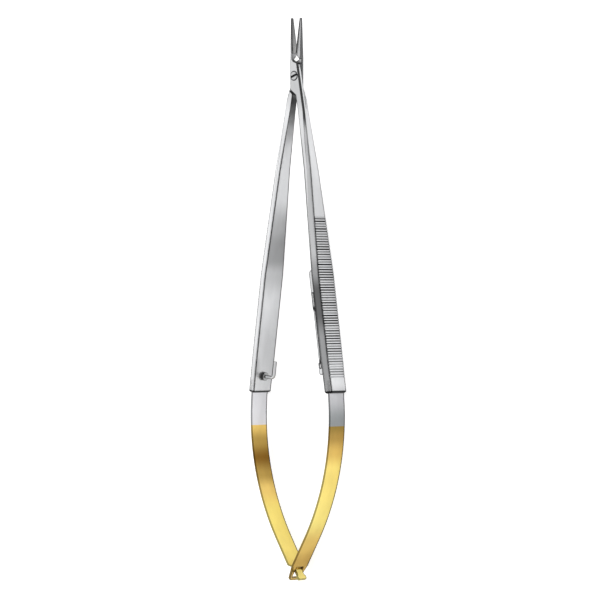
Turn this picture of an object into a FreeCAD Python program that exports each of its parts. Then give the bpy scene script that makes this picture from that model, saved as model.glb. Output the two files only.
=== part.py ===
import FreeCAD, Part
import math
import os

# Micro needle holder with crossing arms, a spring tail and a lock, lying on its side.
# Frame: X is the opening direction, Y runs along the instrument with the jaws at +Y,
# Z is the pivot axis. Origin: middle of the footprint, on the table.

Vec = FreeCAD.Vector
Z_AXIS = Vec(0, 0, 1)
Y_AXIS = Vec(0, 1, 0)

doc = FreeCAD.newDocument("needle_holder")
sheet = doc.addObject("Spreadsheet::Sheet", "Sizes")

# Driving dimensions, in millimetres and degrees
SIZES = (
    ("jaw_half_angle", 5.1, "each arm's opening from the closed position"),
    ("jaw_length", 19.15, "pivot to jaw tip"),
    ("jaw_tip_depth", 0.5, "thickness of one jaw at its tip"),
    ("jaw_tip_width", 0.85, "width of the jaw tip along the pivot axis"),
    ("jaw_taper_start", 6.0, "pivot to where the jaw starts to narrow"),
    ("jaw_taper_end", 17.0, "pivot to where the nose of the jaw begins"),
    ("jaw_nose_width", 1.25, "width of the jaw where the nose begins"),
    ("insert_start", 7.4, "pivot to the near end of the carbide insert"),
    ("insert_depth", 0.45, "thickness of the insert at its near end"),
    ("insert_tip_depth", 0.2, "thickness of the insert at the tip"),
    ("joint_half", 2.05, "pivot to the jaw side edge of a lamina"),
    ("joint_width", 2.86, "thickness of the box joint along the pivot axis"),
    ("lamina_gap", 0.04, "running gap between the two laminae"),
    ("lap_top", 5.1, "pivot to the jaw end of the lamina, on the axis"),
    ("lap_top_slope", 28.0, "slant of the lamina's jaw end"),
    ("lap_root", 6.4, "pivot to the handle end of the lamina"),
    ("lap_root_slope", 43.0, "slant of the lamina's handle end"),
    ("shoulder_rise", 2.4, "height of the jaw shoulder over the lamina end, on the axis"),
    ("shoulder_outer_rise", 0.9, "the same at the jaw's outer edge"),
    ("shoulder_gap", 0.15, "clearance of a shoulder when the jaws are closed"),
    ("joint_bevel", 0.5, "bevel along the outer edges at the joint"),
    ("relief_start", 11.5, "pivot to where the handle's root leans in under the lamina"),
    ("relief_lean", 13.5, "lean of the handle's outer side at its root"),
    ("root_inner", 0.25, "axis to the handle's inner face at its root"),
    ("bend_place", 31.0, "pivot to the bend between shank and handle"),
    ("bend_inner", 2.29, "axis to the inner face at the bend, closed"),
    ("handle_splay", 2.76, "slope of the handle to the axis, closed"),
    ("arm_depth", 2.45, "thickness of the shank"),
    ("grip_depth", 2.55, "thickness of the grooved handle"),
    ("taper_start", 11.5, "pivot to where the shank starts to widen"),
    ("taper_end", 66.0, "pivot to where the handle reaches its full width"),
    ("arm_width", 9.1, "full width of the handle"),
    ("mouth_taper", 10.3, "length over which the handle narrows at its rear end"),
    ("mouth_width", 8.6, "width of the handle at its rear end"),
    ("handle_end", 105.3, "pivot to the rear end of the handle"),
    ("end_chamfer", 0.45, "chamfer around the rear end of the handle"),
    ("grip_bevel", 2.25, "bevel of the handle's sides, measured across its thickness"),
    ("bevel_end", 57.0, "pivot to where the side bevel reaches its full size"),
    ("bevel_drop", 0.65, "loss of half width over a bevel"),
    ("grip_start", 47.4, "pivot to the first grip groove"),
    ("groove_pitch", 0.842, "spacing of the grip grooves"),
    ("groove_count", 63, "number of grip grooves"),
    ("groove_depth", 0.3, "depth of a grip groove"),
    ("groove_half", 0.24, "half width of a grip groove"),
    ("screw_head", 2.9, "diameter of the pivot screw's head"),
    ("screw_head_depth", 0.8, "height of the screw head"),
    ("screw_proud", 0.15, "how far the head stands out of its seat"),
    ("screw_shank", 1.6, "diameter of the screw's shank"),
    ("screw_fit", 0.03, "radial running clearance round the screw"),
    ("slot_width", 0.45, "width of the screwdriver slot"),
    ("slot_depth", 0.35, "depth of the screwdriver slot"),
    ("slot_turn", 20.0, "angle of the slot to the X axis"),
    ("leaf_depth", 0.8, "thickness of a leaf spring"),
    ("leaf_width", 7.4, "width of a leaf spring"),
    ("leaf_place", 1.1, "inner face to the middle of the leaf's tang"),
    ("leaf_start_angle", 5.5, "outward lean of the leaf where it leaves the handle"),
    ("leaf_radius", 80.5, "bending radius of the leaf"),
    ("leaf_tail_angle", 30.0, "slant of the leaf's straight tail to the axis"),
    ("leaf_tang", 4.0, "length of the leaf inside the handle"),
    ("leaf_fit", 0.02, "clearance round the tang in its slot"),
    ("tail_over", 3.8, "length of the tail beyond the crossing"),
    ("window_start", 1.3, "crossing to the near end of the window"),
    ("window_end", 2.8, "crossing to the far end of the window"),
    ("window_width", 3.5, "width of the window"),
    ("loop_width", 4.9, "width of the loop at its end"),
    ("loop_taper", 1.6, "crossing to where the loop starts to narrow"),
    ("tongue_fit", 0.15, "side clearance of the tongue in the window"),
    ("tongue_start", 1.1, "crossing to the tongue's root"),
    ("tongue_shoulder", 0.9, "length of the sloping shoulders beside the tongue"),
    ("tongue_head", 4.2, "width of the tongue's head"),
    ("tongue_head_length", 1.4, "length of the tongue's head"),
    ("tail_round", 0.5, "corner radius at the tail's end"),
    ("hook_place", 99.8, "pivot to the lock hook, along the closed arm"),
    ("hook_collar", 2.8, "diameter of the hook's collar"),
    ("hook_collar_depth", 0.9, "height of the collar"),
    ("hook_wire", 1.1, "diameter of the hook's wire"),
    ("hook_reach", 4.3, "inner face to the middle of the hook's finger"),
    ("hook_finger", 5.5, "length of the finger along the handle"),
    ("hook_bend", 1.1, "bending radius of the hook"),
    ("hook_shank", 1.5, "diameter of the hook's riveted shank"),
    ("lock_top", 64.3, "pivot to the jaw end of the lock's base, along the closed arm"),
    ("lock_base_length", 13.0, "length of the lock's base"),
    ("lock_base_height", 2.5, "height of the lock's base over the inner face"),
    ("lock_width", 5.4, "width of the lock's parts"),
    ("lock_round", 1.3, "rounding of the base's jaw end"),
    ("lock_spring_depth", 0.7, "thickness of the lock's leaf"),
    ("lock_spring_top", 2.3, "height of the leaf's outer face over the inner face"),
    ("lock_spring_seat", 5.5, "length of the leaf inside the base"),
    ("lock_length", 34.6, "jaw end of the base to the end of the lock"),
    ("lock_head_length", 4.4, "length of the catch head"),
    ("lock_head_height", 2.7, "height of the catch head over the inner face"),
    ("lock_head_depth", 1.6, "thickness of the catch head"),
    ("lock_notch", 0.45, "height of the catch head's step"),
    ("rivet_size", 1.4, "diameter of the lock's rivets"),
    ("rivet_head", 2.2, "diameter of the rivet heads"),
    ("rivet_head_depth", 0.35, "height of the rivet heads"),
    ("rivet_inset", 3.2, "ends of the base to the rivets"),
    ("rivet_depth", 1.7, "depth of the blind holes for the rivets and the hook"),
)

for row, (alias, size, note) in enumerate(SIZES, start=1):
    sheet.set("A%d" % row, alias)
    sheet.set("B%d" % row, str(size))
    sheet.setAlias("B%d" % row, alias)
    sheet.set("C%d" % row, note)
doc.recompute()


def size_of(alias):
    return float(sheet.get(alias))


def tan_of(alias):
    return math.tan(math.radians(size_of(alias)))


JAW_HALF = size_of("jaw_half_angle")
HALF_JOINT = size_of("joint_width") / 2
GAP_HALF = size_of("lamina_gap") / 2
FAR = 3 * size_of("arm_width")


def turned(shape, angle):
    """The shape turned about the pivot axis."""
    copy = shape.copy()
    copy.rotate(Vec(0, 0, 0), Z_AXIS, angle)
    return copy


def flipped(shape):
    """The shape of the opposite arm: half a turn about the long axis."""
    copy = shape.copy()
    copy.rotate(Vec(0, 0, 0), Y_AXIS, 180)
    return copy


def prism(corners, low, high):
    """A flat outline in X and Y, drawn out along Z from low to high."""
    points = [Vec(x, y, low) for x, y in corners]
    face = Part.Face(Part.makePolygon(points + points[:1]))
    return face.extrude(Vec(0, 0, high - low))


def between(v, low, high, first, last):
    """A size that changes evenly from first at low to last at high."""
    share = min(max((v - low) / (high - low), 0.0), 1.0)
    return first + share * (last - first)


# Arm blank, closed position: jaw on the left, handle on the right, upper lamina
def inner_face(v):
    """Distance from the axis to the handle's inner face, v below the pivot."""
    root, bend = size_of("lap_root"), size_of("bend_place")
    start, end = size_of("root_inner"), size_of("bend_inner")
    if v > bend:
        return end + (v - bend) * tan_of("handle_splay")
    return start + (v - root) * (end - start) / (bend - root)


def handle_half_width(v):
    full, end = size_of("arm_width") / 2, size_of("handle_end")
    wide_end = end - size_of("mouth_taper")
    if v <= wide_end:
        return between(v, size_of("taper_start"), size_of("taper_end"), HALF_JOINT, full)
    return between(v, wide_end, end, full, size_of("mouth_width") / 2)


def handle_section(v, depth, shrink=0.0):
    """One cross-section of the handle, v below the pivot, with bevelled outer edges."""
    joint, low, high = size_of("joint_bevel"), size_of("taper_start"), size_of("bevel_end")
    flat = between(v, low, high, size_of("arm_depth") - joint,
                   size_of("grip_depth") - size_of("grip_bevel"))
    drop = between(v, low, high, joint, size_of("bevel_drop"))
    inner, half = inner_face(v) + shrink, handle_half_width(v) - shrink
    outer = inner + depth - 2 * shrink
    knee = inner + flat
    corners = ((inner, half), (knee, half), (outer, half - drop),
               (outer, drop - half), (knee, -half), (inner, -half))
    points = [Vec(x, -v, z) for x, z in corners]
    return Part.makePolygon(points + points[:1])


def handle_bar():
    thin, thick = size_of("arm_depth"), size_of("grip_depth")
    chamfer, step = size_of("end_chamfer"), size_of("grip_start")
    grip_step = thick - thin
    end, full_start = size_of("handle_end"), size_of("taper_end")
    full_end = end - size_of("mouth_taper")
    shank_sections = [
        handle_section(-size_of("joint_half") / 2, thin),
        handle_section(size_of("taper_start"), thin),
        handle_section(size_of("bend_place"), thin),
        handle_section(step - grip_step, thin),
    ]
    grip_sections = [
        handle_section(step, thick),
        handle_section(size_of("bevel_end"), thick),
        handle_section(full_start, thick),
    ]
    mouth_sections = [
        handle_section(full_end, thick),
        handle_section(end - chamfer, thick),
        handle_section(end, thick, chamfer),
    ]
    run = Vec(inner_face(full_end) - inner_face(full_start), full_start - full_end, 0)
    straight = Part.Face(handle_section(full_start, thick)).extrude(run)
    widening = Part.makeLoft(shank_sections + grip_sections, True, True)
    return widening.fuse([straight, Part.makeLoft(mouth_sections, True, True)])


def grip_comb():
    """Sawtooth cutter for the cross grooves, in the closed position."""
    pitch, depth, half = size_of("groove_pitch"), size_of("groove_depth"), size_of("groove_half")
    proud = 0.2 * depth
    flare = half * (1 + proud / depth)
    first = -pitch / 2
    corners = [(1, pitch)]
    corners.append((proud, pitch))
    for number in range(int(size_of("groove_count"))):
        middle = first - number * pitch
        corners += [(proud, middle + flare), (-depth, middle), (proud, middle - flare)]
    last = first - size_of("groove_count") * pitch
    corners += [(proud, last), (1, last)]
    comb = prism(corners, -FAR, FAR)
    start = size_of("grip_start")
    comb.rotate(Vec(0, 0, 0), Z_AXIS, size_of("handle_splay"))
    comb.translate(Vec(inner_face(start) + size_of("grip_depth"), -start, 0))
    return comb


def jaw_outer(v):
    """Distance from the axis to the jaw's back, v above the pivot."""
    root, tip = size_of("joint_half"), size_of("jaw_tip_depth")
    return root + (tip - root) * v / size_of("jaw_length")


def jaw_half_width(v):
    low, high = size_of("jaw_taper_start"), size_of("jaw_taper_end")
    nose, tip = size_of("jaw_nose_width") / 2, size_of("jaw_tip_width") / 2
    if v <= low:
        return HALF_JOINT
    if v <= high:
        return HALF_JOINT + (nose - HALF_JOINT) * (v - low) / (high - low)
    return nose + (tip - nose) * (v - high) / (size_of("jaw_length") - high)


def insert_back(v):
    """Depth of the insert at v; nearer the pivot the jaw keeps the same relief."""
    start, end = size_of("insert_start"), size_of("jaw_length")
    deep, thin = size_of("insert_depth"), size_of("insert_tip_depth")
    return deep if v <= start else deep + (thin - deep) * (v - start) / (end - start)


def jaw_section(v, front, back, bevelled):
    half = jaw_half_width(v)
    cut = min(size_of("joint_bevel"), 0.45 * half, 0.6 * (back - front)) if bevelled else 0.0
    if cut:
        corners = ((-front, half), (cut - back, half), (-back, half - cut),
                   (-back, cut - half), (cut - back, -half), (-front, -half))
    else:
        corners = ((-front, half), (-back, half), (-back, -half), (-front, -half))
    points = [Vec(x, v, z) for x, z in corners]
    return Part.makePolygon(points + points[:1])


def jaw_stations(first):
    return (first, size_of("jaw_taper_end"), size_of("jaw_length"))


def jaw_bar():
    low = (-size_of("joint_half") / 2, size_of("jaw_taper_start"))
    sections = [jaw_section(v, insert_back(v), jaw_outer(v), True)
                for v in low + jaw_stations(size_of("insert_start"))]
    return Part.makeLoft(sections, True, True)


def jaw_insert():
    sections = [jaw_section(v, 0.0, insert_back(v), False)
                for v in jaw_stations(size_of("insert_start"))]
    return Part.makeLoft(sections, True, True)


def lamina():
    """The half-thickness plate that carries one arm across the other."""
    bevel = size_of("joint_bevel")
    sections = []
    for v in (-2 * size_of("lap_root"), 2 * size_of("lap_top")):
        left = -jaw_outer(v)
        right = inner_face(-v) + size_of("arm_depth")
        corners = ((left, GAP_HALF), (left, HALF_JOINT - bevel), (left + bevel, HALF_JOINT),
                   (right - bevel, HALF_JOINT), (right, HALF_JOINT - bevel), (right, GAP_HALF))
        points = [Vec(x, v, z) for x, z in corners]
        sections.append(Part.makePolygon(points + points[:1]))
    plate = Part.makeLoft(sections, True, True)
    top, root = size_of("lap_top"), size_of("lap_root")
    rise, fall = tan_of("lap_top_slope"), tan_of("lap_root_slope")
    inner = size_of("root_inner")
    keep = prism((
        (-FAR, top + FAR * rise), (FAR, top - FAR * rise),
        (FAR, -root), (inner, -root), (-FAR, -root + (FAR + inner) * fall)),
        -FAR, FAR)
    return plate.common(keep)


def jaw_shoulder_cutter():
    """Takes the lower half of the jaw's root away, so that the other lamina can pass."""
    top, gap = size_of("lap_top"), size_of("shoulder_gap")
    half, rise = size_of("joint_half"), tan_of("lap_top_slope")
    outer = top - half * rise + gap + size_of("shoulder_outer_rise")
    inner = top + size_of("shoulder_rise")
    slope = (inner - outer) / half
    return prism(((-FAR, outer - (FAR - half) * slope), (FAR, inner + FAR * slope),
                  (FAR, -FAR * (1 + slope)), (-FAR, -FAR * (1 + slope))), -FAR, GAP_HALF)


def handle_shoulder_cutter():
    """Takes the lower half of the handle's root away."""
    root, gap = size_of("lap_root"), size_of("shoulder_gap")
    inner, slope = size_of("root_inner"), tan_of("lap_root_slope")
    far_low = -root - gap - (FAR - inner) * slope
    far_high = -root - gap + (FAR + inner) * slope
    top = FAR * (1 + slope)
    end = prism(((-FAR, far_low), (FAR, far_high), (FAR, top), (-FAR, top)), -FAR, GAP_HALF)
    start, lean = size_of("relief_start"), tan_of("relief_lean")
    outer = inner_face(start) + size_of("arm_depth")
    relief = prism(((outer, -start), (FAR, -start), (FAR, 0), (outer - start * lean, 0)),
                   -FAR, GAP_HALF)
    return end.fuse(relief)


def arm_blank():
    handle = handle_bar().cut(handle_shoulder_cutter()).cut(grip_comb())
    jaw = jaw_bar().cut(jaw_shoulder_cutter())
    return handle.fuse([jaw, lamina()]).removeSplitter()


# Places on the opened handle, in pivot coordinates
def opened(x, y, side):
    """A point of the closed right arm, opened; side is 1 for right and -1 for left."""
    angle = math.radians(JAW_HALF)
    return Vec(side * (x * math.cos(angle) - y * math.sin(angle)),
               x * math.sin(angle) + y * math.cos(angle), 0)


HANDLE_LEAN = JAW_HALF + size_of("handle_splay")


def handle_seat(v, side):
    """Frame on the inner face: its Y points to the jaws, its X to the right."""
    return FreeCAD.Placement(opened(inner_face(v), -v, side),
                             FreeCAD.Rotation(Z_AXIS, side * HANDLE_LEAN))


# Leaf springs, drawn for the right arm in pivot coordinates
def leaf_course():
    """Mouth, bend centre, bend end, crossing and directions of the right leaf's middle line."""
    v = size_of("handle_end")
    mouth = opened(inner_face(v) + size_of("leaf_place"), -v, 1)
    start, tail = (math.radians(size_of(a)) for a in ("leaf_start_angle", "leaf_tail_angle"))
    radius = size_of("leaf_radius")
    centre = mouth - Vec(math.cos(start), math.sin(start), 0) * radius
    bend_end = centre + Vec(math.cos(tail), -math.sin(tail), 0) * radius
    down = Vec(-math.sin(tail), -math.cos(tail), 0)
    crossing = bend_end + down * (bend_end.x / math.sin(tail))
    return mouth, centre, bend_end, crossing, start, tail, down


def leaf_strip():
    """Tang and bend of the right leaf, full width."""
    mouth, centre, bend_end, crossing, start, tail, down = leaf_course()
    back = Vec(-math.sin(start), math.cos(start), 0) * size_of("leaf_tang")
    half = size_of("leaf_depth") / 2
    middle = (start - tail) / 2
    sides = []
    for offset in (half, -half):
        radius = size_of("leaf_radius") + offset
        first = centre + Vec(math.cos(start), math.sin(start), 0) * radius
        midway = centre + Vec(math.cos(middle), math.sin(middle), 0) * radius
        last = centre + Vec(math.cos(tail), -math.sin(tail), 0) * radius
        sides.append((first, midway, last))
    (o1, o2, o3), (i1, i2, i3) = sides
    edges = [Part.LineSegment(o1 + back, o1), Part.Arc(o1, o2, o3), Part.LineSegment(o3, i3),
             Part.Arc(i3, i2, i1), Part.LineSegment(i1, i1 + back),
             Part.LineSegment(i1 + back, o1 + back)]
    face = Part.Face(Part.Wire([edge.toShape() for edge in edges]))
    strip = face.extrude(Vec(0, 0, size_of("leaf_width")))
    strip.translate(Vec(0, 0, -size_of("leaf_width") / 2))
    return strip


def tail_plate(outline, hole=None):
    """A flat tail from its outline: distance past the crossing, half width."""
    mouth, centre, bend_end, crossing, start, tail, down = leaf_course()
    depth = size_of("leaf_depth")
    across = Vec(math.cos(tail), -math.sin(tail), 0)

    def plate(rows):
        shift = crossing - across * (depth / 2)
        right = [shift + down * s + Z_AXIS * w for s, w in rows]
        left = [shift + down * s - Z_AXIS * w for s, w in reversed(rows)]
        points = right + left
        return Part.Face(Part.makePolygon(points + points[:1])).extrude(across * depth)

    body = plate(outline)
    return body.cut(plate(hole)) if hole else body


def bend_distance():
    mouth, centre, bend_end, crossing, start, tail, down = leaf_course()
    return -(crossing - bend_end).Length


def window_leaf():
    full, over = size_of("leaf_width") / 2, size_of("tail_over")
    loop, corner = size_of("loop_width") / 2, size_of("tail_round")
    opening = size_of("window_width") / 2
    tail = tail_plate(
        ((bend_distance(), full), (-size_of("loop_taper"), full),
         (over - corner, loop), (over, loop - corner)),
        ((-size_of("window_start"), opening), (size_of("window_end"), opening)))
    return leaf_strip().fuse(tail).removeSplitter()


def tongue_leaf():
    full, over = size_of("leaf_width") / 2, size_of("tail_over")
    neck = size_of("window_width") / 2 - size_of("tongue_fit")
    head, corner = size_of("tongue_head") / 2, size_of("tail_round")
    root = -size_of("tongue_start")
    head_start = over - size_of("tongue_head_length")
    tail = tail_plate(
        ((bend_distance(), full), (root - size_of("tongue_shoulder"), full), (root, neck),
         (head_start - corner, neck), (head_start, head), (over - corner, head),
         (over, head - corner)))
    return leaf_strip().fuse(tail).removeSplitter()


def tang_slot():
    """The pocket in the handle's end that holds the leaf's tang."""
    mouth, centre, bend_end, crossing, start, tail, down = leaf_course()
    fit = size_of("leaf_fit")
    depth, width = size_of("leaf_depth") + 2 * fit, size_of("leaf_width") + 2 * fit
    length = size_of("leaf_tang") + fit
    slot = Part.makeBox(depth, 2 * length, width, Vec(-depth / 2, -length, -width / 2))
    slot.rotate(Vec(0, 0, 0), Z_AXIS, math.degrees(start))
    slot.translate(mouth)
    return slot


# Holes in the arms
def round_hole(diameter, low, high):
    return Part.makeCylinder(diameter / 2, high - low, Vec(0, 0, low))


def cross_hole(diameter, v, side):
    """A blind hole square to the handle's inner face."""
    reach = size_of("rivet_depth")
    hole = Part.makeCylinder(diameter / 2, 2 * reach, Vec(-reach, 0, 0), Vec(1, 0, 0))
    hole.Placement = handle_seat(v, side).multiply(hole.Placement)
    return hole


def rivet_places():
    """Distances from the pivot to the two rivets, along the closed arm."""
    top, inset = size_of("lock_top"), size_of("rivet_inset")
    return top + inset, top + size_of("lock_base_length") - inset


HEAD_SEAT = HALF_JOINT + size_of("screw_proud") - size_of("screw_head_depth")
SCREW_FIT = size_of("screw_fit")


def right_arm():
    """Handle on the right, jaw on the left, lamina on top with the screw's seat."""
    arm = turned(arm_blank(), JAW_HALF).cut(tang_slot())
    seat = round_hole(size_of("screw_head") + 2 * SCREW_FIT, HEAD_SEAT - SCREW_FIT, FAR)
    shank = round_hole(size_of("screw_shank") + 2 * SCREW_FIT, -FAR, FAR)
    holes = [seat, shank] + [cross_hole(size_of("rivet_size"), v, 1) for v in rivet_places()]
    return arm.cut(holes)


def left_arm():
    """The same blank turned over, with the tapped hole and the hook's hole."""
    blank = arm_blank()
    arm = turned(flipped(blank), -JAW_HALF).cut(flipped(tang_slot()))
    tapped = round_hole(size_of("screw_shank"), -FAR, FAR)
    return arm.cut([tapped, cross_hole(size_of("hook_shank"), size_of("hook_place"), -1)])


# Middle of the footprint and height of the long axis over the table
tail_end = leaf_course()[3].y - (
    size_of("tail_over") * math.cos(leaf_course()[5])
    + size_of("leaf_depth") / 2 * math.sin(leaf_course()[5]))
tip_end = size_of("jaw_length") * math.cos(math.radians(JAW_HALF))
PIVOT = FreeCAD.Placement(Vec(0, -(tip_end + tail_end) / 2, size_of("arm_width") / 2),
                          FreeCAD.Rotation())
parts = []


def add_feature(name, shape):
    feature = doc.addObject("Part::Feature", name)
    feature.Label = name
    feature.Shape = shape
    feature.Placement = PIVOT.multiply(shape.Placement)
    parts.append(feature)


def add_solid(kind, name, seat, offset, **sizes):
    """A primitive bound to the sheet, placed by an offset inside a seat of the pivot frame."""
    solid = doc.addObject("Part::" + kind, name)
    for prop, formula in sizes.items():
        solid.setExpression(prop, formula)
    solid.Placement = PIVOT.multiply(seat).multiply(offset)
    return solid


def at(x, y, z, axis=Z_AXIS, angle=0.0):
    return FreeCAD.Placement(Vec(x, y, z), FreeCAD.Rotation(axis, angle))


def combine(kind, name, pieces):
    joined = doc.addObject("Part::" + kind, name)
    if kind == "Cut":
        joined.Base, joined.Tool = pieces
    else:
        joined.Shapes = pieces
    return joined


def finish_piece(piece, name):
    piece.Label = name
    parts.append(piece)


add_feature("left_arm", left_arm())
add_feature("right_arm", right_arm())
add_feature("left_jaw_insert", turned(jaw_insert(), JAW_HALF))
add_feature("right_jaw_insert", turned(flipped(jaw_insert()), -JAW_HALF))
add_feature("left_leaf_spring", flipped(tongue_leaf()))
add_feature("right_leaf_spring", window_leaf())

# Pivot screw: slotted head in the upper lamina, shank threaded into the lower one
centre_seat = at(0, 0, 0)
head = add_solid("Cylinder", "screw_head_disc", centre_seat, at(0, 0, HEAD_SEAT),
                 Radius="Sizes.screw_head / 2", Height="Sizes.screw_head_depth")
shank = add_solid("Cylinder", "screw_shank_rod", centre_seat, at(0, 0, -HALF_JOINT),
                  Radius="Sizes.screw_shank / 2",
                  Height="Sizes.joint_width + Sizes.screw_proud - Sizes.slot_depth")
slot = add_solid("Box", "screw_slot", at(0, 0, HALF_JOINT, Z_AXIS, size_of("slot_turn")),
                 at(-size_of("screw_head"), -size_of("slot_width") / 2,
                    size_of("screw_proud") - size_of("slot_depth")),
                 Length="2 * Sizes.screw_head", Width="Sizes.slot_width",
                 Height="2 * Sizes.slot_depth")
screw_blank = combine("MultiFuse", "screw_blank", [head, shank])
finish_piece(combine("Cut", "pivot_screw_solid", (screw_blank, slot)), "pivot_screw")


# Lock hook: collar, riveted shank and a wire bent towards the jaws
def hook_wire():
    reach, bend = size_of("hook_reach"), size_of("hook_bend")
    turn = bend * (1 - math.sqrt(0.5))
    foot = Vec(0, 0, 0)
    knee_start, knee_end = Vec(reach - bend, 0, 0), Vec(reach, bend, 0)
    knee = Vec(reach - turn, turn, 0)
    path = Part.Wire([Part.LineSegment(foot, knee_start).toShape(),
                      Part.Arc(knee_start, knee, knee_end).toShape(),
                      Part.LineSegment(knee_end, Vec(reach, size_of("hook_finger"), 0)).toShape()])
    ring = Part.Wire(Part.makeCircle(size_of("hook_wire") / 2, foot, Vec(1, 0, 0)))
    return path.makePipeShell([ring], True, True)


hook_seat = handle_seat(size_of("hook_place"), -1)
wire = doc.addObject("Part::Feature", "hook_wire_rod")
wire.Shape = hook_wire()
wire.Placement = PIVOT.multiply(hook_seat)
collar = add_solid("Cylinder", "hook_collar_disc", hook_seat, at(0, 0, 0, Y_AXIS, 90),
                   Radius="Sizes.hook_collar / 2", Height="Sizes.hook_collar_depth")
rivet_shank = add_solid("Cylinder", "hook_rivet_rod", hook_seat,
                        at(-size_of("rivet_depth"), 0, 0, Y_AXIS, 90),
                        Radius="Sizes.hook_shank / 2", Height="Sizes.rivet_depth")
finish_piece(combine("MultiFuse", "catch_hook_solid", [wire, collar, rivet_shank]), "catch_hook")

# Lock on the right arm: a base block with a sprung leaf and the catch head at its end
lock_seat = handle_seat(size_of("lock_top"), 1)
half_lock = size_of("lock_width") / 2
base_block = add_solid(
    "Box", "lock_base_block", lock_seat,
    at(-size_of("lock_base_height"), -size_of("lock_base_length"), -half_lock),
    Length="Sizes.lock_base_height", Width="Sizes.lock_base_length", Height="Sizes.lock_width")
doc.recompute()


def upright_edges(box, local_x, local_y):
    """Names of the box's edges along Z at one corner of its base."""
    corner = box.Placement.multVec(Vec(local_x, local_y, 0))
    names = []
    for number, edge in enumerate(box.Shape.Edges, start=1):
        middle = edge.CenterOfMass
        if math.hypot(middle.x - corner.x, middle.y - corner.y) < 1e-6:
            names.append(number)
    return names


rounded = doc.addObject("Part::Fillet", "lock_base_rounded")
rounded.Base = base_block
rounded.Edges = [(number, size_of("lock_round"), size_of("lock_round"))
                 for number in upright_edges(base_block, 0, size_of("lock_base_length"))]
spring_length = size_of("lock_length") - size_of("lock_base_length")
leaf_top = size_of("lock_spring_top")
spring_strip = add_solid(
    "Box", "lock_spring_strip", lock_seat,
    at(-leaf_top, -size_of("lock_length") + size_of("lock_head_length") / 2, -half_lock),
    Length="Sizes.lock_spring_depth",
    Width="Sizes.lock_length - Sizes.lock_head_length / 2 - Sizes.lock_base_length"
          " + Sizes.lock_spring_seat",
    Height="Sizes.lock_width")
slot_room = add_solid(
    "Box", "lock_spring_slot", lock_seat,
    at(-leaf_top, -2 * size_of("lock_base_length"), -size_of("lock_width")),
    Length="Sizes.lock_spring_depth",
    Width="Sizes.lock_base_length + Sizes.lock_spring_seat", Height="2 * Sizes.lock_width")
rivet_room = []
rivet_pieces = []
for count, place in enumerate(rivet_places(), start=1):
    rivet_seat = handle_seat(place, 1)
    top = size_of("lock_base_height")
    rivet_room.append(add_solid(
        "Cylinder", "rivet_hole_%d" % count, rivet_seat, at(-2 * top, 0, 0, Y_AXIS, 90),
        Radius="Sizes.rivet_size / 2", Height="3 * Sizes.lock_base_height"))
    rivet_pieces.append(add_solid(
        "Cylinder", "rivet_rod_%d" % count, rivet_seat, at(-top, 0, 0, Y_AXIS, 90),
        Radius="Sizes.rivet_size / 2", Height="Sizes.lock_base_height + Sizes.rivet_depth"))
    rivet_pieces.append(add_solid(
        "Cylinder", "rivet_cap_%d" % count, rivet_seat,
        at(-top - size_of("rivet_head_depth"), 0, 0, Y_AXIS, 90),
        Radius="Sizes.rivet_head / 2", Height="Sizes.rivet_head_depth"))
room = combine("MultiFuse", "lock_base_room", rivet_room + [slot_room])
finish_piece(combine("Cut", "catch_base_solid", (rounded, room)), "catch_base")
spring_solid = combine("Cut", "catch_spring_solid", (spring_strip, rivet_room[1]))
finish_piece(combine("MultiFuse", "catch_rivets_solid", rivet_pieces), "catch_rivets")


# Catch head: a stepped block with a round end, slotted over the leaf
def catch_head():
    length, high = size_of("lock_head_length"), size_of("lock_head_height")
    deep, step = size_of("lock_head_depth"), size_of("lock_notch")
    low = high - deep
    half = deep / 2
    points = [Vec(-low, length, 0), Vec(step - high, length, 0), Vec(step - high, length - step, 0),
              Vec(-high, length - step, 0), Vec(-high, half, 0), Vec(-low, half, 0)]
    edges = [Part.LineSegment(a, b).toShape() for a, b in zip(points[:4], points[1:5])]
    edges.append(Part.Arc(points[4], Vec(half - high, 0, 0), points[5]).toShape())
    edges.append(Part.LineSegment(points[5], points[0]).toShape())
    head_block = Part.Face(Part.Wire(edges)).extrude(Vec(0, 0, size_of("lock_width")))
    room_for_leaf = Part.makeBox(size_of("lock_spring_depth"), length,
                                 size_of("lock_width"), Vec(-leaf_top, length / 2, 0))
    return head_block.cut(room_for_leaf)


head_piece = doc.addObject("Part::Feature", "catch_head")
head_piece.Shape = catch_head()
head_piece.Placement = PIVOT.multiply(lock_seat).multiply(
    at(0, -size_of("lock_length"), -half_lock))
finish_piece(head_piece, "catch_head")
finish_piece(spring_solid, "catch_spring")

doc.recompute()
for item in doc.Objects:
    bad = [state for state in item.State if state in ("Invalid", "Error")]
    if bad:
        raise RuntimeError("%s failed: %s" % (item.Name, bad))
os.makedirs("parts", exist_ok=True)
for piece in parts:
    if piece.Shape.isNull() or not piece.Shape.isValid() or not piece.Shape.Solids:
        raise RuntimeError("%s has no valid solid" % piece.Label)
    piece.Shape.exportStep("parts/%s.step" % piece.Label)
    box = piece.Shape.BoundBox
    print("%-20s %9.2f mm3  %d solid  X %.2f %.2f  Y %.2f %.2f  Z %.2f %.2f" % (
        piece.Label, piece.Shape.Volume, len(piece.Shape.Solids),
        box.XMin, box.XMax, box.YMin, box.YMax, box.ZMin, box.ZMax))
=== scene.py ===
"""Looks of the spring-handled needle holder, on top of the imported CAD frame.

Lengths are in metres unless a comment says millimetres. X runs across the instrument, Y from the
spring tail to the jaw tips and Z up, along the pivot axis. The materials read only the object's
own coordinates and its surface. A tone is a grey level, or three numbers for a colour.
"""

import math

import bmesh
import bpy
from mathutils import Matrix, Vector


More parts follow.
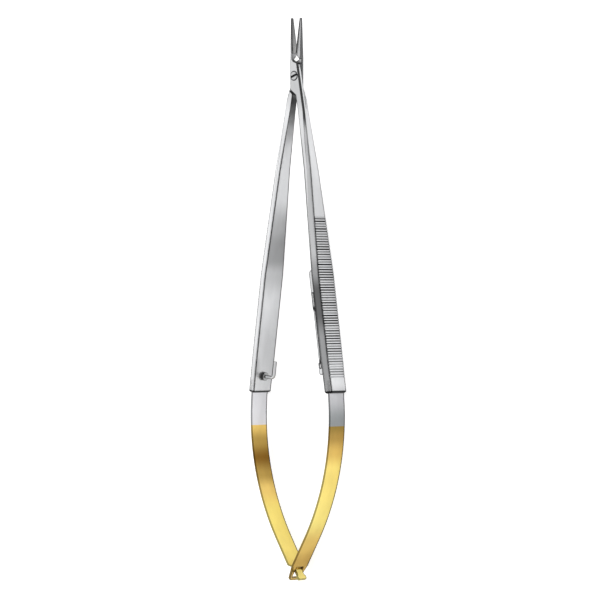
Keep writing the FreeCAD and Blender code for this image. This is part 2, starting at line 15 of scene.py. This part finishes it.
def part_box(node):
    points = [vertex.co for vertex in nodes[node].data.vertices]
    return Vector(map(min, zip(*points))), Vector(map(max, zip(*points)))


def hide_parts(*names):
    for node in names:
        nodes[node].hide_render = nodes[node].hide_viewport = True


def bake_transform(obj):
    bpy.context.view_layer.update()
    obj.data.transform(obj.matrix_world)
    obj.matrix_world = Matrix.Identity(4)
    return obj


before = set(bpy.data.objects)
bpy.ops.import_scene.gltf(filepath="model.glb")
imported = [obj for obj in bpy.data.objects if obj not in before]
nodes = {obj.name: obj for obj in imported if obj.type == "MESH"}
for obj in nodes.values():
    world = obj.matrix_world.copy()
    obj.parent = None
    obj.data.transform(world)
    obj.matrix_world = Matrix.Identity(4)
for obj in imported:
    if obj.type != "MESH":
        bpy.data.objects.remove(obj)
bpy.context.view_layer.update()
scene = bpy.context.scene

# ---------------------------------------------------------------- camera
PIXEL = 0.3290e-3          # metres per pixel of the photograph, at the object
DISTANCE = 4700            # camera distance, in pixels of the photograph
TURN = math.radians(39.6)  # the camera's lean from the pivot axis towards +X
ROLL = math.radians(0.13)  # the object's slight lean to the left in the photograph
MIDDLE_X = 297.2           # column of the photograph in which the long axis lies
MIDDLE_Y = 299.1           # row of the photograph in which the object's middle lies
HALF_IMAGE = 300
SENSOR = 36.0              # millimetres
CLIP_START = 0.01
MID_PLANE = 0.00455        # half the instrument's height

back = Vector((math.sin(TURN), 0, math.cos(TURN)))
roll = Matrix.Rotation(-ROLL, 3, back)
right = roll @ Vector((math.cos(TURN), 0, -math.sin(TURN)))
up = roll @ Vector((0, 1, 0))
aim = (Vector((0, 0, MID_PLANE)) + right * (HALF_IMAGE - MIDDLE_X) * PIXEL
       - up * (HALF_IMAGE - MIDDLE_Y) * PIXEL)
camera_data = bpy.data.cameras.new("camera")
camera_data.sensor_width = SENSOR
camera_data.lens = SENSOR * DISTANCE / (2 * HALF_IMAGE)
camera_data.clip_start = CLIP_START
camera = bpy.data.objects.new("camera", camera_data)
camera.matrix_world = (Matrix.Translation(aim + back * DISTANCE * PIXEL)
                       @ Matrix((right, up, back)).transposed().to_4x4())
scene.collection.objects.link(camera)
scene.camera = camera
scene.view_settings.view_transform = "Standard"

# ---------------------------------------------------------------- node helpers
MIX_FACTOR, MIX_A, MIX_B, MIX_RESULT = 0, 6, 7, 2   # a Mix node's sockets for colours


def grey(level):
    return (level, level, level, 1)


class Nodes:
    """Short names for building the node tree of a material or a world."""

    def __init__(self, owner):
        owner.use_nodes = True
        self.owner = owner
        self.tree = owner.node_tree
        self.tree.nodes.clear()

    def node(self, kind, inputs=(), **settings):
        """A new node; an input is a value or another node's output."""
        made = self.tree.nodes.new(kind)
        for key, value in settings.items():
            setattr(made, key, value)
        for key, value in dict(inputs).items():
            if isinstance(value, bpy.types.NodeSocket):
                self.tree.links.new(value, made.inputs[key])
            else:
                made.inputs[key].default_value = value
        return made

    def split(self, vector):
        """The X, Y and Z of a vector, by name."""
        return self.node("ShaderNodeSeparateXYZ", {"Vector": vector}).outputs

    def math(self, operation, *values):
        return self.node("ShaderNodeMath", enumerate(values), operation=operation).outputs[0]

    def times(self, first, *others):
        for other in others:
            first = self.math("MULTIPLY", first, other)
        return first

    def absolute(self, value):
        return self.math("ABSOLUTE", value)

    def between(self, share, first, second):
        """The first number where share is 0 and the second one where it is 1."""
        return self.math("ADD", self.times(first, self.math("SUBTRACT", 1.0, share)),
                         self.times(second, share))

    def vector(self, operation, *values):
        made = self.node("ShaderNodeVectorMath", enumerate(values), operation=operation)
        return made.outputs["Value" if operation == "DOT_PRODUCT" else "Vector"]

    def blend(self, factor, first, second, mode="MIX"):
        """The first colour where factor is 0 and the second one where it is 1."""
        return self.node("ShaderNodeMix", {MIX_FACTOR: factor, MIX_A: first, MIX_B: second},
                         data_type="RGBA", blend_type=mode).outputs[MIX_RESULT]

    def shade(self, colour, factor):
        """The colour times a number."""
        tone = self.node("ShaderNodeCombineColor", {0: factor, 1: factor, 2: factor})
        return self.blend(1.0, colour, tone.outputs[0], "MULTIPLY")

    def ramp(self, factor, *stops, kind="EASE"):
        """A colour from stops of (place from 0 to 1, tone)."""
        made = self.node("ShaderNodeValToRGB", {"Fac": factor})
        made.color_ramp.interpolation = kind
        elements = made.color_ramp.elements
        while len(elements) < len(stops):
            elements.new(0.5)
        for element, (place, tone) in zip(elements, stops):
            element.position = place
            element.color = (*tone, 1) if isinstance(tone, tuple) else grey(tone)
        return made.outputs["Color"]

    def span(self, value, low, high, out_low=0.0, out_high=1.0, kind="SMOOTHSTEP"):
        """out_low at low, out_high at high, which may be the lesser, and a change between."""
        return self.node("ShaderNodeMapRange", {
            "Value": value, "From Min": low, "From Max": high,
            "To Min": out_low, "To Max": out_high}, interpolation_type=kind).outputs[0]

    def finish(self, surface, kind="ShaderNodeOutputMaterial"):
        self.node(kind, {"Surface": surface})
        return self.owner


# ---------------------------------------------------------------- metal
FAR_END = 0.0925                   # the jaw tips along Y; the tail is as far the other way
LENGTH_MM = 2000 * FAR_END
GRAIN_NOISE = ((9000, 260, 9000), 3.0, 0.6)   # fine scratches: scale, detail and roughness
CLOUD_NOISE = ((160, 60, 160), 2.0, 0.5)      # slow changes of tone
GRAIN_SPAN = (0.25, 0.75, 0.96, 1.02)         # from a share of the noise to a share of the tone
CLOUD_SPAN = (0.3, 0.7, 0.92, 1.04)
GRAIN_BUMP, BUMP_DEPTH = 0.012, 0.0001
GRAIN_ROUGHNESS = 0.10             # how far the scratches spread the roughness
ARRIS_SAMPLES = 8
ARRIS_COSINES = (0.999, 0.955)     # between the rounded and the true normal: no painted arris shade, full painted shade
ARRIS_SHADE_TONE = 0.07                  # what a full line of painted arris shade leaves of the colour
ACROSS = (1, 0, 1)                 # what is left of a normal without its part along Y


def along(s, y, stops):
    """A tone that changes along the instrument; each stop is (place in millimetres, tone)."""
    share = s.span(y, -FAR_END, FAR_END, kind="LINEAR")
    return s.ramp(share, *((0.5 + place / LENGTH_MM, tone) for place, tone in stops))


def noise(s, place, scale, detail, roughness):
    stretched = s.node("ShaderNodeMapping", {"Vector": place, "Scale": scale}).outputs[0]
    return s.node("ShaderNodeTexNoise", {
        "Vector": stretched, "Scale": 1.0, "Detail": detail,
        "Roughness": roughness}).outputs["Fac"]


def line(s, rounded, facet):
    """The painted arris shade: 1 on an arris, where the rounded normal leaves the true one, and
    0 on a face.
    """
    return s.span(s.vector("DOT_PRODUCT", rounded, facet), *ARRIS_COSINES)


def metal(name, colour_of, roughness, arris_size, plain_zone=None, arris_shade_zone=None, tint=None):
    """Satin metal with fine long scratches, painted dark shade on the arrises and slow changes
    of tone.

    colour_of and the arris shade's zone are functions of a point's place and normal, in the
    object's own coordinates. arris_size is a radius or a function of the place. Where
    plain_zone is 1, only the arrises along Y get the painted shade.
    """
    s = Nodes(bpy.data.materials.new(name))
    coordinates = s.node("ShaderNodeTexCoord").outputs
    place = s.split(coordinates["Object"])
    facing = s.split(coordinates["Normal"])
    scratches = noise(s, coordinates["Object"], *GRAIN_NOISE)
    cloud = noise(s, coordinates["Object"], *CLOUD_NOISE)

    radius = arris_size(s, place) if callable(arris_size) else arris_size
    rounded = s.node("ShaderNodeBevel", {"Radius": radius}, samples=ARRIS_SAMPLES).outputs[0]
    facet = s.node("ShaderNodeNewGeometry").outputs["Normal"]
    # painted dark shade along the arrises, where the rounded normal leaves the true one
    arris = line(s, rounded, facet)
    if plain_zone:
        flat = [s.vector("NORMALIZE", s.vector("MULTIPLY", normal, ACROSS))
                for normal in (rounded, facet)]
        arris = s.between(plain_zone(s, place), arris, line(s, *flat))
    if arris_shade_zone:
        arris = s.times(arris, arris_shade_zone(s, place, facing))

    base = colour_of(s, place, facing)
    base = s.shade(base, s.span(cloud, *CLOUD_SPAN))
    base = s.shade(base, s.span(scratches, *GRAIN_SPAN))
    # the painted arris shade darkens the colour
    base = s.shade(base, s.span(arris, 0.0, 1.0, 1.0, ARRIS_SHADE_TONE))
    if tint:
        base = s.blend(1.0, base, tint, "MULTIPLY")
    bump = s.node("ShaderNodeBump", {"Strength": GRAIN_BUMP, "Distance": BUMP_DEPTH,
                                     "Height": scratches})
    rough = s.math("ADD", s.times(scratches, GRAIN_ROUGHNESS), roughness - GRAIN_ROUGHNESS / 2)
    shader = s.node("ShaderNodeBsdfPrincipled", {
        "Base Color": base, "Metallic": 1.0, "Roughness": rough, "Normal": bump.outputs[0]})
    return s.finish(shader.outputs[0])


# ---------------------------------------------------------------- small pieces
NARROW_SIDE = (0.4, 0.6)           # a normal's Z, from the broad faces to the narrow ones
SLOT_HEIGHTS = (0.00585, 0.00608)  # the screw is in painted shade below the first and bright above the second
SLOT_SHADE_TONES = ((0.0, 0.05), (1.0, 0.62))
INSERT_ROOT = 0.08075              # the near end of the inserts, flush with the jaws' steel
# painted shade on the carbide's dark grey: the gripping face darker towards the tip, and its
# narrow top side dark
INSERT_FACE_SHADE = ((80.7, 0.50), (84, 0.36), (86.5, 0.26), (89, 0.22), (92, 0.14))
INSERT_TOP_SHADE = 0.10
GRIP_SIDE = (0.5, 0.7)             # a normal's X, up to the gripping face
NO_LINE = (0.0010, 0.0006)         # distances from the root: painted arris shade from the first one on
COLLAR_END = (-0.01335, -0.01325)  # where the hook's collar ends and its wire begins, along X
WIRE_PAINTED_LIGHT_SIDE = (0.5, 0.866)          # the wire is painted bright where it faces this way in X and Z
# painted light and shade: the wire dark on its flanks, the collar dark on its rim
WIRE_PAINTED_LIT, WIRE_PAINTED_SHADE_TONES = (0.42, 0.95), ((0.0, 0.04), (1.0, 0.80))
COLLAR_PAINTED_LIT, COLLAR_PAINTED_SHADE_TONES = (0.5, 0.8), ((0.0, 0.08), (1.0, 0.46))
LOCK_FACE = 0.72
# tones of the lock's narrow sides along Y, in millimetres, with painted shade in a dark band at
# the base's end and at the head
LOCK_SIDE_SHADE = ((-24, 0.80), (-21.3, 0.80), (-21.0, 0.05), (-20.3, 0.05), (-20.1, 0.75),
             (-3.9, 0.75), (-3.6, 0.05), (-2.8, 0.05), (-2.5, 0.70), (9, 0.75))


def screw_tone_and_slot_shade(s, place, facing):
    """Painted shade in the slot: its floor and sides lie dark under the head's top."""
    return s.ramp(s.span(place["Z"], *SLOT_HEIGHTS), *SLOT_SHADE_TONES)


def insert_colour_and_shade(s, place, facing):
    """The carbide's dark grey with painted shade: the gripping face darkens towards the tip, and
    the narrow side on top is dark.
    """
    return s.blend(s.span(facing["Z"], *NARROW_SIDE), along(s, place["Y"], INSERT_FACE_SHADE),
                   grey(INSERT_TOP_SHADE))


def beyond_root(s, place, facing):
    """No painted arris shade across the gripping face where the insert meets the steel."""
    near = s.span(s.absolute(s.math("SUBTRACT", place["Y"], INSERT_ROOT)), *NO_LINE)
    return s.math("SUBTRACT", 1.0, s.times(near, s.span(facing["X"], *GRIP_SIDE)))


def hook_painted_shade(s, place, facing):
    """Painted light and shade: a wire painted bright where it faces up and towards +X and dark
    on its flanks, and a collar with a painted dark rim.
    """
    painted_lit = s.math("ADD", *(s.times(facing[axis], part) for axis, part in zip("XZ", WIRE_PAINTED_LIGHT_SIDE)))
    wire = s.ramp(s.span(painted_lit, *WIRE_PAINTED_LIT), *WIRE_PAINTED_SHADE_TONES)
    collar = s.ramp(s.span(facing["X"], *COLLAR_PAINTED_LIT), *COLLAR_PAINTED_SHADE_TONES)
    return s.blend(s.span(place["X"], *COLLAR_END), collar, wire)


def lock_colour_and_shade(s, place, facing):
    """Bright steel, with painted shade in a dark band across its narrow sides at the base's end
    and at the head.
    """
    return s.blend(s.span(s.absolute(facing["Z"]), *NARROW_SIDE), grey(LOCK_FACE),
                   along(s, place["Y"], LOCK_SIDE_SHADE))


# ---------------------------------------------------------------- arms
HANDLE_LEAN = math.radians(7.86)   # a handle's slope to the long axis, at rest
HANDLE_END = 0.03268               # a handle's rear end, measured along the handle
GROOVE_START = -0.025116           # the foremost groove, measured along the handle
GROOVE_PITCH = 0.000842
GROOVES_LOW, GROOVES_HIGH, GROOVES_BLUR = -0.0262, 0.0268, 0.0002   # the grooved part, in Y
GROOVE_SHADES = (0.05, 0.72)       # painted shade in the grooves: what the darkest and the faintest groove leave of the tone
FAINT_GROOVE_PART, FAINT_GROOVE_SHARE = (-0.013, -0.022), 0.55   # grooves near the handle's end are fainter
BROAD_ARRIS, JOINT_ARRIS, JAW_ARRIS = 0.00100, 0.00045, 0.00030
JOINT_PART, JAW_PART = (0.045, 0.060), (0.077, 0.080)   # where the arrises get finer, along Y
OUTER_SIDE = (-0.3, 0.3)           # the outward part of a normal, from inner to outer side
GROOVED_SIDE = (0.2, 0.4)          # the same, up to the side with the grooves
GROOVE_FLANK = (0.30, 0.45)        # a normal's Y, without its sign, up to a groove's flanks
TOP_SIDE = (0.55, 0.75)            # a normal's Z, up to the top
RIDGE_SIDE = (0.45, 0.60)          # a normal's X and Z, up to the faces that slant towards +X
RIDGE_PART = (0.054, 0.060)        # where those faces get a painted tone of their own, along Y
END_SHADOW_RIM = (HANDLE_END - 0.00070, HANDLE_END - 0.00055)      # the painted shadow rim at a handle's end, measured as HANDLE_END
LAP_SLOPE = 0.4234                 # y + LAP_SLOPE * x is the same all along the lamina's jaw end
LAP_SHADOW = (0.07776, 0.07791)      # the painted shadow line before that end, in that measure
LAP_SIDE = (-0.0007, -0.0005)      # where the painted shadow line begins, in X
LAP_LIMIT = 0.0790                 # no painted shadow line beyond this Y, on the jaw
# the tone of the painted shadow lines at the handles' ends and at the lamina's jaw end
SHADOW_LINE_TONE = 0.06

# Painted light and shade in place of the studio's reflections, along each arm in millimetres:
# tones of the inner side, the outer side and the tops. The dip to 0.06 at 65.5 mm on the inner
# side is painted shade in the hollow under the lamina's shoulder.
INNER_PAINTED_SHADING = ((-27, 0.76), (-15, 0.64), (0, 0.77), (8, 0.60), (13, 0.38), (18, 0.38),
               (24, 0.48), (33, 0.76), (49, 0.72), (55.5, 0.44), (59, 0.24), (62, 0.13),
               (65.5, 0.06), (68.5, 0.30), (72, 0.18), (79, 0.16), (81, 0.13), (92, 0.13))
OUTER_PAINTED_SHADING = ((-31, 0.62), (-27.5, 0.80), (-10, 0.82), (10, 0.74), (27, 0.72), (50, 0.78),
               (68, 0.76), (77.6, 0.82), (78.2, 0.28), (79.2, 0.32), (80.7, 0.44), (92, 0.42))
RIGHT_TOP_PAINTED_SHADING = ((-31, 0.50), (-24, 0.46), (-13, 0.48), (-5, 0.20), (3, 0.18), (9, 0.48),
             (16, 0.78), (30, 0.78), (60, 0.80), (66, 0.66), (78, 0.70), (80, 0.86),
             (86, 0.66), (92, 0.40))
LEFT_TOP_PAINTED_SHADING = ((-31, 0.80), (0, 0.86), (60, 0.88), (70, 0.66), (76, 0.55), (79, 0.45),
            (82, 0.35), (86, 0.25), (92, 0.30))
# painted tones of the faces that slant towards +X near the joint: dark shade on the right arm,
# bright on the left
RIGHT_RIDGE_PAINTED, LEFT_RIDGE_PAINTED = 0.08, 0.75


def groove_zone(s, place):
    """1 on the grooved part of a handle."""
    return s.times(s.span(place["Y"], GROOVES_LOW - GROOVES_BLUR, GROOVES_LOW),
                   s.span(place["Y"], GROOVES_HIGH + GROOVES_BLUR, GROOVES_HIGH))


def arris_width(s, place):
    """Broad dark arrises on the handles, finer ones at the joint and on the jaws."""
    fine = s.span(place["Y"], *JAW_PART, JOINT_ARRIS, JAW_ARRIS)
    return s.between(s.span(place["Y"], *JOINT_PART), BROAD_ARRIS, fine)


def groove_shade(s, y, down_handle):
    """The painted shade in a groove, as what it leaves of the tone: each groove is as dark as
    its number's random value, and grooves near the handle's end are fainter.
    """
    number = s.math("FLOOR", s.math("DIVIDE", s.math("SUBTRACT", down_handle, GROOVE_START),
                                    GROOVE_PITCH))
    chance = s.node("ShaderNodeTexWhiteNoise", {"W": number},
                    noise_dimensions="1D").outputs["Value"]
    return s.between(s.span(y, *FAINT_GROOVE_PART, 0.0, FAINT_GROOVE_SHARE),
                     s.span(chance, 0.0, 1.0, *GROOVE_SHADES), 1.0)


def lap_shadow_line(s, place):
    """The mask of a painted shadow: 1 in a narrow line along the slanted jaw end of the right
    arm's lamina.
    """
    slanted = s.math("ADD", place["Y"], s.times(place["X"], LAP_SLOPE))
    return s.times(s.span(slanted, *LAP_SHADOW), s.span(place["X"], *LAP_SIDE),
                   s.math("LESS_THAN", place["Y"], LAP_LIMIT))


def arm_painted_shading(side, top_tones, ridge_tone):
    """Painted light and shade of one arm, by facing and along Y, with painted shade in the
    grooves and painted shadow lines: side is 1 for the right arm and -1 for the left one.
    """
    def colour(s, place, facing):
        y = place["Y"]
        outward = s.times(facing["X"], side)
        down_handle = s.math("SUBTRACT", s.times(s.absolute(place["X"]), math.sin(HANDLE_LEAN)),
                             s.times(y, math.cos(HANDLE_LEAN)))
        base = s.blend(s.span(outward, *OUTER_SIDE), along(s, y, INNER_PAINTED_SHADING),
                       along(s, y, OUTER_PAINTED_SHADING))
        base = s.blend(s.span(facing["Z"], *TOP_SIDE), base, along(s, y, top_tones))
        ridge = s.times(s.span(facing["X"], *RIDGE_SIDE), s.span(facing["Z"], *RIDGE_SIDE),
                        s.span(y, *RIDGE_PART))
        base = s.blend(ridge, base, grey(ridge_tone))
        # painted shade on the grooves' flanks, darker or fainter at random from groove to groove
        groove_shade_mask = s.times(groove_zone(s, place), s.span(s.absolute(facing["Y"]), *GROOVE_FLANK),
                      s.span(outward, *GROOVED_SIDE))
        base = s.blend(groove_shade_mask, base, s.shade(base, groove_shade(s, y, down_handle)))
        # painted shadow: a dark rim at the handle's end and, on the right arm, a line at the
        # lamina's jaw end
        rim = s.span(down_handle, *END_SHADOW_RIM)
        if side > 0:
            rim = s.math("MAXIMUM", rim, lap_shadow_line(s, place))
        return s.blend(rim, base, grey(SHADOW_LINE_TONE))
    return colour


# ---------------------------------------------------------------- leaf springs
LEAF_ROOT = -0.0300                # where a leaf's tones begin, just inside its handle
GILT_START, GILT_BLUR = -0.0416, 0.0001   # where the plating begins, along Y
TAIL_START = -0.0875               # the tongue and the window lie beyond it
TAIL_BLUR = 0.0010
LEAF_EDGE, LEAF_FACE = (0.5, 0.8), (0.8, 0.5)   # a normal's Z, up to the narrow or broad sides
EDGE_SHADE = 0.42                   # painted shade: what a leaf's narrow sides keep of its tone
LOWER_HALF = (0.0026, 0.0016)      # heights: no painted shade line above the first, full below the second
TAIL_ARRIS, LEAF_ARRIS = 0.00060, 0.00110
# steel and gold tones along the leaves, with painted light and shade: the right root darker and
# darkening, and the gold's dark and bright bands along each leaf
LEFT_ROOT = ((0.0, (0.80, 0.80, 0.83)), (1.0, (0.78, 0.78, 0.81)))
RIGHT_ROOT_SHADED = ((0.0, (0.60, 0.60, 0.62)), (1.0, (0.33, 0.35, 0.36)))
LEFT_GOLD_AND_PAINTED_SHADING = ((0.0, (0.90, 0.63, 0.18)), (0.10, (0.50, 0.33, 0.08)),
             (0.21, (0.25, 0.125, 0.015)), (0.32, (0.50, 0.33, 0.08)),
             (0.42, (0.93, 0.67, 0.20)), (0.55, (1.0, 0.82, 0.23)), (1.0, (1.0, 0.84, 0.27)))
RIGHT_GOLD_AND_PAINTED_SHADING = ((0.0, (0.36, 0.24, 0.055)), (0.07, (0.50, 0.32, 0.08)),
              (0.17, (0.78, 0.53, 0.14)), (0.28, (1.0, 0.80, 0.24)), (0.62, (1.0, 0.84, 0.26)),
              (0.76, (0.80, 0.57, 0.16)), (0.88, (0.60, 0.39, 0.095)), (1.0, (0.62, 0.42, 0.12)))


def leaf_colour_and_shade(root_stops, gold_stops):
    """Bare steel at the root, then the plating, both with painted light and shade along Y; the
    plating's stops run from its start to the tail, and the narrow sides get painted shade.
    """
    def colour(s, place, facing):
        bare = s.ramp(s.span(place["Y"], LEAF_ROOT, GILT_START), *root_stops)
        gold = s.ramp(s.span(place["Y"], GILT_START, -FAR_END, kind="LINEAR"), *gold_stops)
        plated = s.span(place["Y"], GILT_START + GILT_BLUR, GILT_START - GILT_BLUR)
        # painted shade on the narrow sides
        edge = s.span(s.absolute(facing["Z"]), *LEAF_EDGE)
        return s.shade(s.blend(plated, bare, gold), s.span(edge, 0.0, 1.0, 1.0, EDGE_SHADE))
    return colour


def leaf_shade_lines(s, place, facing):
    """Where the painted arris shade falls: the line along a leaf's lower edge and all arrises at
    the tail, on its broad faces.
    """
    part = s.math("MAXIMUM", s.span(place["Z"], *LOWER_HALF),
                  s.span(place["Y"], TAIL_START, TAIL_START - TAIL_BLUR))
    return s.times(s.span(s.absolute(facing["Z"]), *LEAF_FACE), part)


def leaf_arris_width(s, place):
    return s.span(place["Y"], TAIL_START - TAIL_BLUR, TAIL_START, TAIL_ARRIS, LEAF_ARRIS)


# ---------------------------------------------------------------- materials of the pieces
STEEL_TINT = (0.985, 0.993, 1.008, 1)
STEEL_ROUGHNESS, GILT_ROUGHNESS, CARBIDE_ROUGHNESS = 0.30, 0.32, 0.38
LOCK_ARRIS, HOOK_ARRIS, SCREW_ARRIS, INSERT_ARRIS = 0.00060, 0.00015, 0.00045, 0.00040


def arm_steel(name, side, top_tones, ridge_tone):
    return metal(name, arm_painted_shading(side, top_tones, ridge_tone), STEEL_ROUGHNESS, arris_width,
                 plain_zone=groove_zone, arris_shade_zone=beyond_root, tint=STEEL_TINT)


def small_steel(name, colour_of, arris_size):
    return metal(name, colour_of, STEEL_ROUGHNESS, arris_size, tint=STEEL_TINT)


def leaf_metal(name, root_stops, gold_stops):
    return metal(name, leaf_colour_and_shade(root_stops, gold_stops), GILT_ROUGHNESS, leaf_arris_width,
                 arris_shade_zone=leaf_shade_lines)


steel_lock = small_steel("steel_lock", lock_colour_and_shade, LOCK_ARRIS)
carbide = metal("jaw_insert_carbide", insert_colour_and_shade, CARBIDE_ROUGHNESS, INSERT_ARRIS,
                arris_shade_zone=beyond_root)
STEEL_NODES = {
    "left_arm": arm_steel("steel_left_arm", -1, LEFT_TOP_PAINTED_SHADING, LEFT_RIDGE_PAINTED),
    "right_arm": arm_steel("steel_right_arm", 1, RIGHT_TOP_PAINTED_SHADING, RIGHT_RIDGE_PAINTED),
    "pivot_screw": small_steel("steel_screw", screw_tone_and_slot_shade, SCREW_ARRIS),
    "catch_hook": small_steel("steel_hook", hook_painted_shade, HOOK_ARRIS),
    "catch_base": steel_lock, "catch_rivets": steel_lock, "catch_head": steel_lock}
INSERT_NODES = ("left_jaw_insert", "right_jaw_insert")
LEAF_METALS = {
    "left": leaf_metal("left_leaf_steel_and_gold", LEFT_ROOT, LEFT_GOLD_AND_PAINTED_SHADING),
    "right": leaf_metal("right_leaf_steel_and_gold", RIGHT_ROOT_SHADED, RIGHT_GOLD_AND_PAINTED_SHADING)}

# ---------------------------------------------------------------- edges
WELD_DISTANCE = 1e-6
EDGE_WIDTH, EDGE_SEGMENTS = 0.00005, 2
SHARP_ANGLE = math.radians(25)


def smooth_edges(obj):
    """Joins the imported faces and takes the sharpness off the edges, as modifiers."""
    obj.modifiers.new("weld", "WELD").merge_threshold = WELD_DISTANCE
    bevel = obj.modifiers.new("bevel", "BEVEL")
    bevel.width = EDGE_WIDTH
    bevel.segments = EDGE_SEGMENTS
    bevel.limit_method = "ANGLE"
    bevel.angle_limit = SHARP_ANGLE


for name, material in STEEL_NODES.items():
    nodes[name].material_slots[0].material = material
    smooth_edges(nodes[name])
for name in INSERT_NODES:
    nodes[name].material_slots[0].material = carbide

# ---------------------------------------------------------------- leaf copies with crosswise cuts
FLAT_ANGLE = math.radians(0.5)     # faces that turn less than this become one
CUT_DISTANCE = 1e-7
LEAF_STEP, CATCH_STEP = 0.002, 0.001   # between the crosswise cuts


def bending_copy(name, material, step):
    """A copy of a CAD node's mesh with crosswise cuts, one every step along Y, in place of the
    CAD node, which is hidden.
    """
    mesh = bmesh.new()
    mesh.from_mesh(nodes[name].data)
    bmesh.ops.remove_doubles(mesh, verts=mesh.verts, dist=WELD_DISTANCE)
    bmesh.ops.dissolve_limit(mesh, angle_limit=FLAT_ANGLE, verts=mesh.verts, edges=mesh.edges)
    low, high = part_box(name)
    place = low.y + step
    while place < high.y:
        geometry = mesh.verts[:] + mesh.edges[:] + mesh.faces[:]
        bmesh.ops.bisect_plane(mesh, geom=geometry, dist=CUT_DISTANCE, plane_co=(0, place, 0),
                               plane_no=(0, 1, 0))
        place += step
    data = bpy.data.meshes.new(name + "_bent")
    mesh.to_mesh(data)
    mesh.free()
    data.materials.append(material)
    for polygon in data.polygons:
        polygon.use_smooth = True
    data.set_sharp_from_angle(angle=SHARP_ANGLE)
    piece = bpy.data.objects.new(name + "_bent", data)
    scene.collection.objects.link(piece)
    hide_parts(name)
    return piece


for side, material in LEAF_METALS.items():
    leaf = bending_copy(side + "_leaf_spring", material, LEAF_STEP)
    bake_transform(leaf)
strip = bending_copy("catch_spring", steel_lock, CATCH_STEP)
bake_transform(strip)

# ---------------------------------------------------------------- floor
FLOOR_HALF = 3.0
PAPER_TONE = 0.85
SEEN_GLOW, MIRRORED_GLOW = 0.55, 0.30   # makes the paper white to the camera and in the metal

floor_data = bpy.data.meshes.new("floor")
floor_data.from_pydata([(-FLOOR_HALF, -FLOOR_HALF, 0), (FLOOR_HALF, -FLOOR_HALF, 0),
                        (FLOOR_HALF, FLOOR_HALF, 0), (-FLOOR_HALF, FLOOR_HALF, 0)],
                       [], [(0, 1, 2, 3)])
floor = bpy.data.objects.new("floor", floor_data)
scene.collection.objects.link(floor)
s = Nodes(bpy.data.materials.new("floor_white"))
ray = s.node("ShaderNodeLightPath").outputs
mirrored = s.math("MAXIMUM", ray["Is Glossy Ray"], ray["Is Transmission Ray"])
paper = s.node("ShaderNodeBsdfDiffuse", {"Color": grey(PAPER_TONE)})
glow = s.node("ShaderNodeEmission", {
    "Color": grey(1.0), "Strength": s.math("ADD", s.times(ray["Is Camera Ray"], SEEN_GLOW),
                                           s.times(mirrored, MIRRORED_GLOW))})
both = s.node("ShaderNodeAddShader", {0: paper.outputs[0], 1: glow.outputs[0]})
floor_data.materials.append(s.finish(both.outputs[0]))

# ---------------------------------------------------------------- studio light
TENT = ((0.0, 1.0), (0.34, 1.0), (0.47, 0.72), (0.60, 0.66), (0.80, 0.70), (1.0, 0.80))
SKY_STRENGTH, SEEN_STRENGTH = 0.85, 0.15   # the second is added for what is seen or mirrored
KEY_PLACE, KEY_SIZE, KEY_POWER = Vector((-0.6, 0.3, 1.2)), 1.2, 3.0

world = bpy.data.worlds.new("studio")
scene.world = world
s = Nodes(world)
ray = s.node("ShaderNodeLightPath").outputs
direction = s.split(s.node("ShaderNodeTexCoord").outputs["Generated"])
turn = s.math("ARCTAN2", direction["X"], direction["Z"])
share = s.math("ADD", s.math("DIVIDE", turn, math.pi), 0.5)
sky = s.blend(ray["Is Glossy Ray"], grey(1.0), s.ramp(share, *TENT, kind="LINEAR"))
seen = s.math("MAXIMUM", ray["Is Camera Ray"],
              s.math("MAXIMUM", ray["Is Glossy Ray"], ray["Is Transmission Ray"]))
strength = s.math("ADD", SKY_STRENGTH, s.times(seen, SEEN_STRENGTH))
background = s.node("ShaderNodeBackground", {"Color": sky, "Strength": strength})
s.finish(background.outputs[0], "ShaderNodeOutputWorld")

key_data = bpy.data.lights.new("key", "AREA")
key_data.shape = "RECTANGLE"
key_data.size = key_data.size_y = KEY_SIZE
key_data.energy = KEY_POWER
key = bpy.data.objects.new("key", key_data)
key.location = KEY_PLACE
key.rotation_euler = (-KEY_PLACE).to_track_quat("-Z", "Y").to_euler()
key.visible_glossy = False
scene.collection.objects.link(key)
